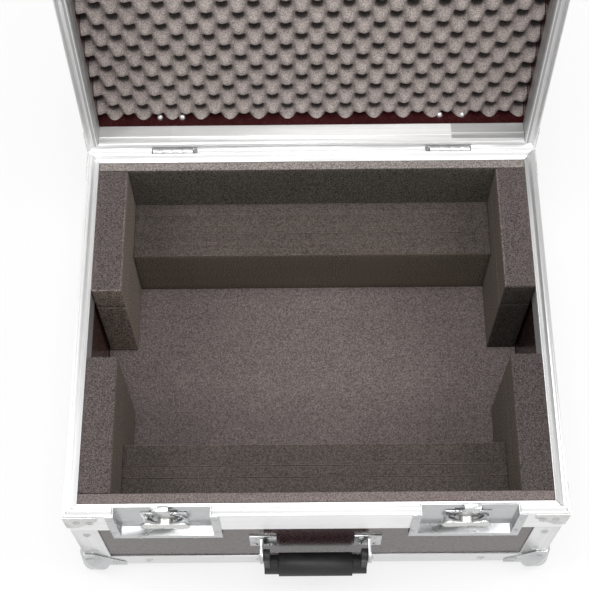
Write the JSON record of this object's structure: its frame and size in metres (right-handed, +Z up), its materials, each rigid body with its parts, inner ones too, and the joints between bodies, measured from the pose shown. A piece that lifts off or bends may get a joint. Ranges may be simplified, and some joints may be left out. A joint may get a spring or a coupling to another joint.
{
  "type": "drum pad case",
  "caption": "Hinged plywood road case with aluminium rims, recessed butterfly latches, a carry handle and stepped foam that holds a drum pad, lid open.",
  "frame": {"origin": "on the ground, at the centre of the footprint that the case has with its lid open", "axes": "+Z up, +Y towards the hinges at the rear, +X to the right seen from the front"},
  "size_m": [0.4768, 0.5295, 0.5666],
  "materials": {
    "film_faced_ply": "gloss",
    "aluminium_extrusion": "satin",
    "plated_steel": "satin",
    "rubber": "matte",
    "grip": "matte",
    "foam": "matte"
  },
  "bodies": {
    "base": {"base_rim_front": "aluminium_extrusion", "base_rim_rear": "aluminium_extrusion", "base_rim_left": "aluminium_extrusion", "base_rim_right": "aluminium_extrusion", "base_floor_panel": "film_faced_ply", "base_front_panel": "film_faced_ply", "base_rear_panel": "film_faced_ply", "base_left_panel": "film_faced_ply", "base_right_panel": "film_faced_ply", "base_bottom_edges": "aluminium_extrusion", "base_upright_edges": "aluminium_extrusion", "base_ball_corners": "plated_steel", "base_rim_braces": "plated_steel", "rubber_feet": "rubber", "floor_foam": "foam", "rear_liner_foam": "foam", "front_liner_foam": "foam", "rear_left_foam_block": "foam", "front_left_foam_block": "foam", "rear_right_foam_block": "foam", "front_right_foam_block": "foam", "rear_step_foam": "foam", "front_step_foam": "foam", "hinge_base_leaves": "plated_steel", "hinge_pins": "plated_steel", "left_latch_dish": "plated_steel", "right_latch_dish": "plated_steel", "handle_brackets": "plated_steel", "handle_pins": "plated_steel"},
    "lid": {"lid_rim_front": "aluminium_extrusion", "lid_rim_rear": "aluminium_extrusion", "lid_rim_left": "aluminium_extrusion", "lid_rim_right": "aluminium_extrusion", "lid_top_panel": "film_faced_ply", "lid_front_panel": "film_faced_ply", "lid_rear_panel": "film_faced_ply", "lid_left_panel": "film_faced_ply", "lid_right_panel": "film_faced_ply", "lid_top_edges": "aluminium_extrusion", "lid_ball_corners": "plated_steel", "lid_rim_braces": "plated_steel", "lid_egg_foam": "foam", "hinge_lid_leaves": "plated_steel", "left_latch_keeper": "plated_steel", "right_latch_keeper": "plated_steel"},
    "left_wing": {"left_latch_wing": "plated_steel"},
    "left_draw": {"left_latch_draw_plate": "plated_steel"},
    "left_hook": {"left_latch_hook": "plated_steel"},
    "right_wing": {"right_latch_wing": "plated_steel"},
    "right_draw": {"right_latch_draw_plate": "plated_steel"},
    "right_hook": {"right_latch_hook": "plated_steel"},
    "handle": {"handle_grip": "grip"}
  },
  "joints": [
    {"name": "lid_hinge", "type": "hinge", "parent": "base", "child": "lid", "pos_m": [0, 0.14459, 0.18115], "axis": [1, 0, 0], "range_deg": [0, 95.5]},
    {"name": "handle_swing", "type": "hinge", "parent": "base", "child": "handle", "pos_m": [0, -0.25381, 0.093], "axis": [1, 0, 0], "range_deg": [-90, 0]},
    {"name": "left_wing_turn", "type": "hinge", "parent": "base", "child": "left_wing", "pos_m": [-0.14, -0.23981, 0.144], "axis": [0, 1, 0], "range_deg": [0, 180]},
    {"name": "left_draw_slide", "type": "slide", "parent": "base", "child": "left_draw", "axis": [0, 0, 1], "range_m": [-0.008, 0]},
    {"name": "left_hook_tilt", "type": "hinge", "parent": "left_draw", "child": "left_hook", "pos_m": [-0.14, -0.23341, 0.16834], "axis": [1, 0, 0], "range_deg": [-8, 0]},
    {"name": "right_wing_turn", "type": "hinge", "parent": "base", "child": "right_wing", "pos_m": [0.14, -0.23981, 0.144], "axis": [0, 1, 0], "range_deg": [0, 180]},
    {"name": "right_draw_slide", "type": "slide", "parent": "base", "child": "right_draw", "axis": [0, 0, 1], "range_m": [-0.008, 0]},
    {"name": "right_hook_tilt", "type": "hinge", "parent": "right_draw", "child": "right_hook", "pos_m": [0.14, -0.23341, 0.16834], "axis": [1, 0, 0], "range_deg": [-8, 0]}
  ],
  "couplings": [
    {"joint": "left_draw_slide", "follows": "left_wing_turn", "m_per_rad": -0.0025465},
    {"joint": "right_draw_slide", "follows": "right_wing_turn", "m_per_rad": -0.0025465}
  ]
}
